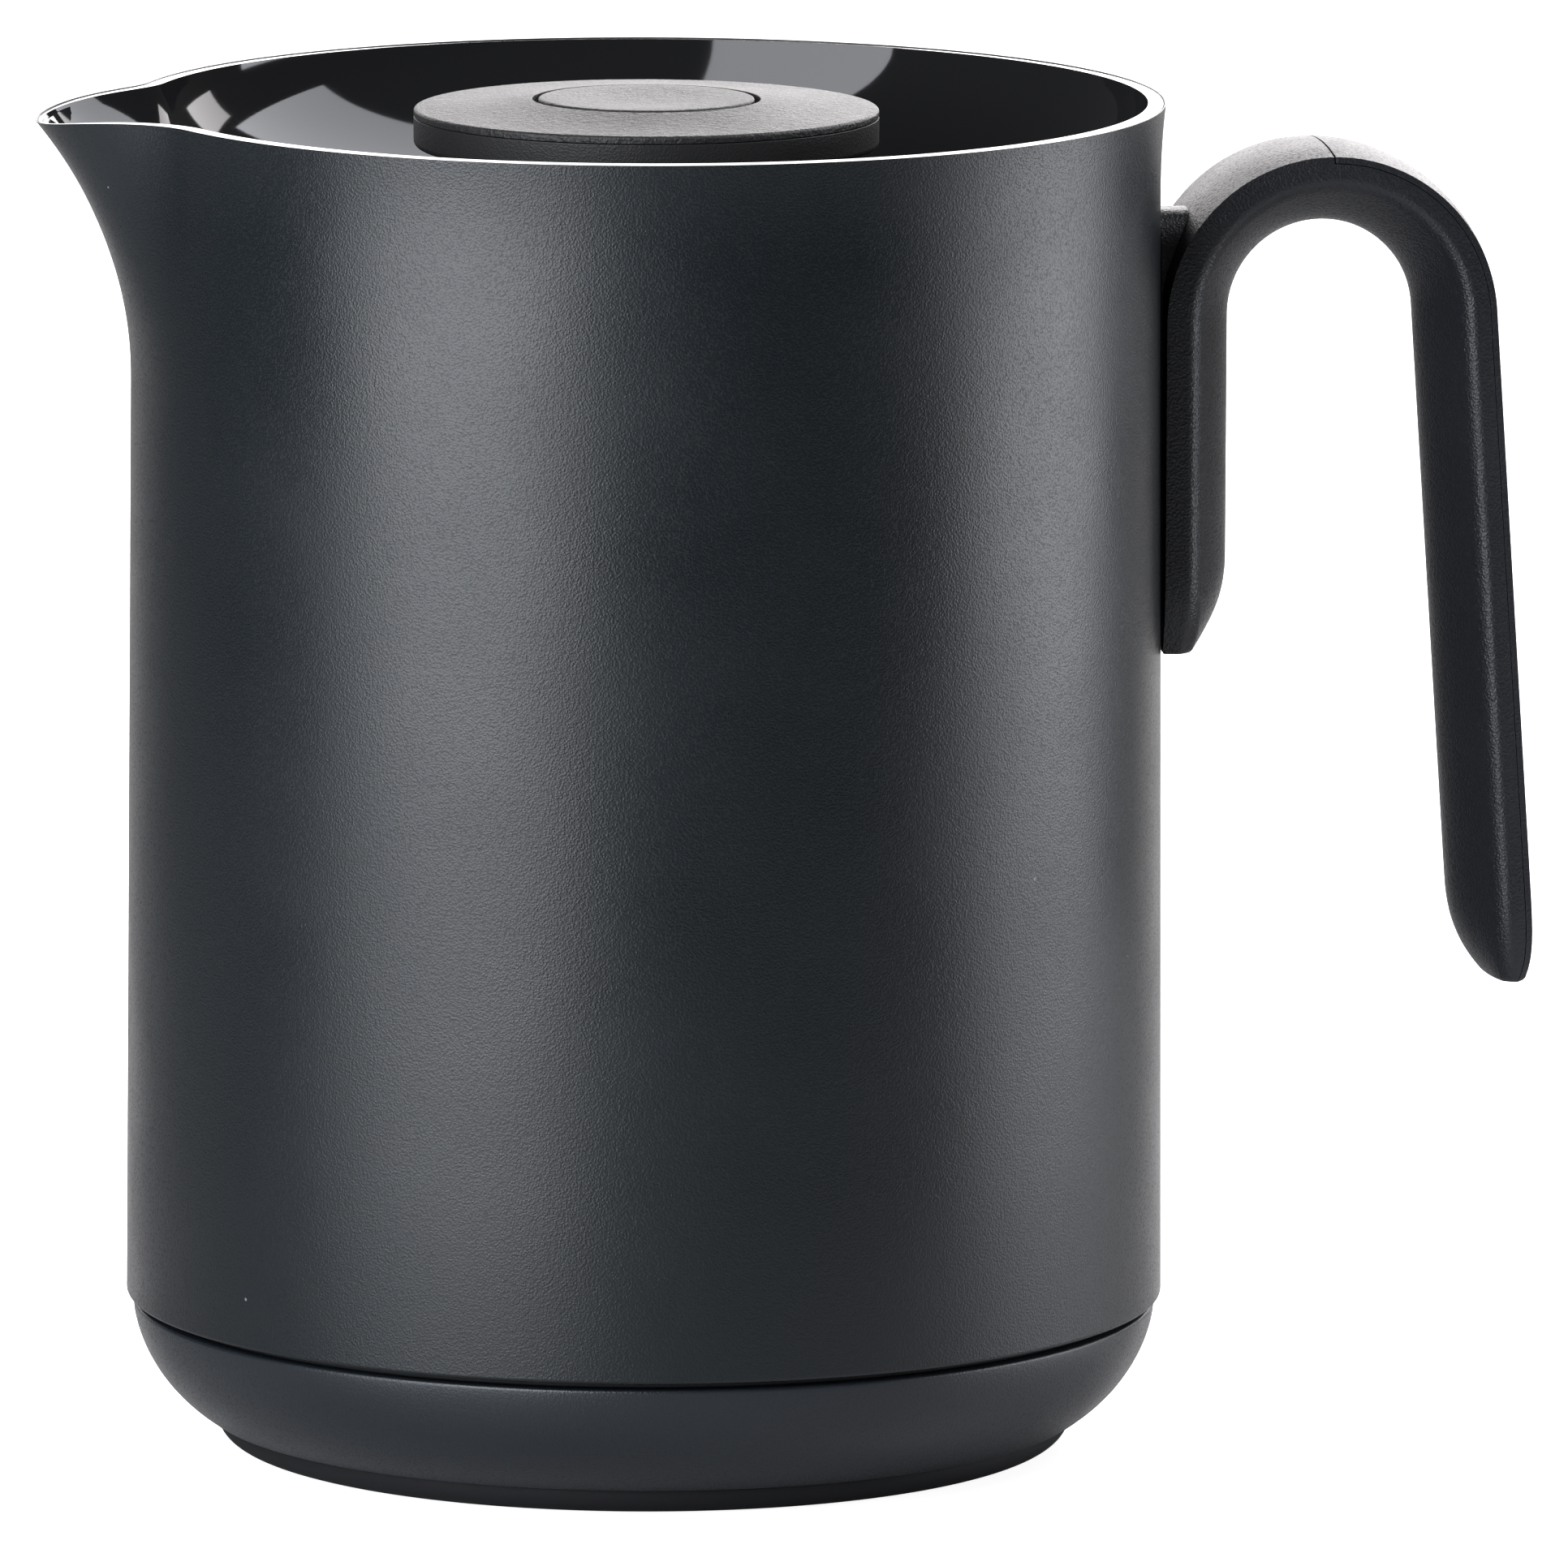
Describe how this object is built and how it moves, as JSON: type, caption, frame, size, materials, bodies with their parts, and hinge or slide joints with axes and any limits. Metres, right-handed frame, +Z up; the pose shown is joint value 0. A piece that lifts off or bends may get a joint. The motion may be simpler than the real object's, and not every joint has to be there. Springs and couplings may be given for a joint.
{
  "type": "insulated pouring jug",
  "caption": "Insulated jug with a spouted shell, steel vacuum flask, glossy pouring collar, open-ended loop handle and a screw-in stopper with a push-button valve.",
  "frame": {"origin": "on the body's axis, on the surface that the jug stands on", "axes": "+X towards the handle, -X towards the spout, +Z up along the body's axis"},
  "size_m": [0.1938, 0.1336, 0.1744],
  "materials": {
    "shell_plastic": "fine moulded leather grain, matt",
    "base_plastic": "smooth matt",
    "gloss_plastic": "polished",
    "handle_plastic": "fine spark-eroded texture, semi-matt",
    "lid_plastic": "fine grain, matt",
    "inner_plastic": "as moulded",
    "rubber": "matt",
    "silicone": "translucent grey, matt",
    "steel": "brushed"
  },
  "bodies": {
    "jug": {"outer_shell": "shell_plastic", "pouring_collar": "gloss_plastic", "neck_seal": "silicone", "flask_inner_wall": "steel", "flask_outer_wall": "steel", "vacuum_plug": "steel", "flask_cushion": "rubber", "base_cap": "base_plastic", "base_seal": "rubber", "foot_pad": "rubber", "handle_frame": "handle_plastic", "handle_grip_cover": "handle_plastic", "handle_screw_upper": "steel", "handle_screw_lower": "steel"},
    "seal_ring": {"stopper_seal": "silicone"},
    "stopper": {"stopper_body": "inner_plastic", "lid_pan": "lid_plastic", "lid_cover": "lid_plastic", "stem_seal": "silicone", "valve_spring": "steel"},
    "button": {"push_button": "lid_plastic", "valve_stem": "inner_plastic", "valve_plate": "inner_plastic", "valve_seal": "silicone", "stem_clip": "steel"},
    "click": {"click_ring": "inner_plastic"}
  },
  "joints": [
    {"name": "stopper_lift", "type": "slide", "parent": "jug", "child": "seal_ring", "axis": [0, 0, 1], "range_m": [0, 0.048]},
    {"name": "stopper_turn", "type": "hinge", "parent": "seal_ring", "child": "stopper", "pos_m": [0, 0, 0.16], "axis": [0, 0, 1], "range_deg": [0, 1080]},
    {"name": "button_press", "type": "slide", "parent": "stopper", "child": "button", "axis": [0, 0, -1], "range_m": [0, 0.005], "stiffness_N_per_m": 800, "springref_m": -0.004, "deforming": ["valve_spring"]},
    {"name": "click_turn", "type": "hinge", "parent": "stopper", "child": "click", "pos_m": [0, 0, 0.16], "axis": [0, 0, 1], "range_deg": [0, 45]}
  ],
  "couplings": [
    {"joint": "stopper_lift", "follows": "stopper_turn", "m_per_rad": 0.0025465},
    {"joint": "click_turn", "follows": "button_press", "rad_per_m": 157.08}
  ]
}
